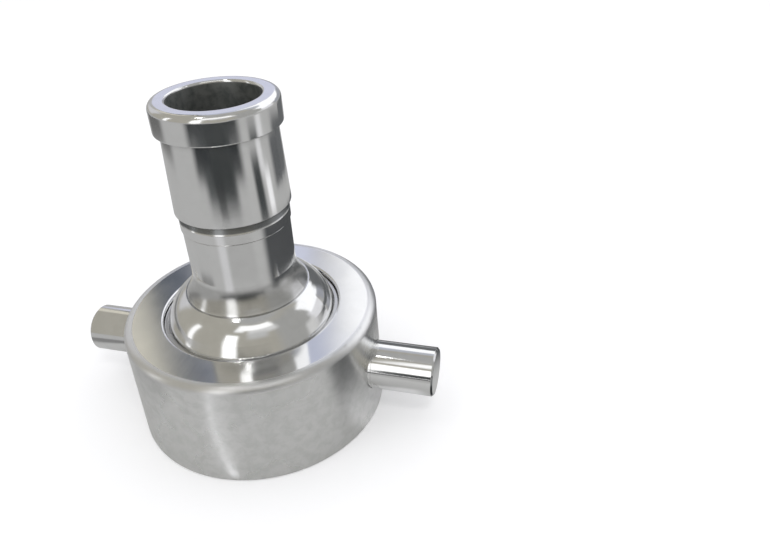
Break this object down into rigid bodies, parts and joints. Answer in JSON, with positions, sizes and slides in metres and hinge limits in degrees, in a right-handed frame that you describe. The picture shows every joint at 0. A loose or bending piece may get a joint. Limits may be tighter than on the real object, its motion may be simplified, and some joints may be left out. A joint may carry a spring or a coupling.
{
  "type": "quarter turn fire hose coupling half",
  "caption": "Quarter turn hose coupling half: hose tail with tapered grip in a free turning ring with round spanner lugs and a bayonet mouth.",
  "frame": {"origin": "centre of the mouth rim, on the face that the coupling stands on", "axes": "+Z along the swivel axis, up the hose tail; +X through the right spanner lug; +Y across the lugs"},
  "size_m": [0.174, 0.1176, 0.1515],
  "materials": {
    "polished_aluminium": "polished",
    "turned_aluminium": "satin, turned",
    "lug_aluminium": "polished",
    "spring_steel": "bright",
    "nylon": "matte",
    "black_rubber": "matte"
  },
  "bodies": {
    "tail": {"hose_tail": "polished_aluminium", "retaining_ring": "spring_steel", "face_gasket": "black_rubber"},
    "ring": {"swivel_ring": "turned_aluminium", "lug_pin_right": "lug_aluminium", "lug_pin_left": "lug_aluminium", "thrust_washer": "nylon"}
  },
  "joints": [
    {"name": "ring_swivel", "type": "hinge", "parent": "tail", "child": "ring", "pos_m": [0, 0, 0.043], "axis": [0, 0, 1], "continuous": true}
  ]
}
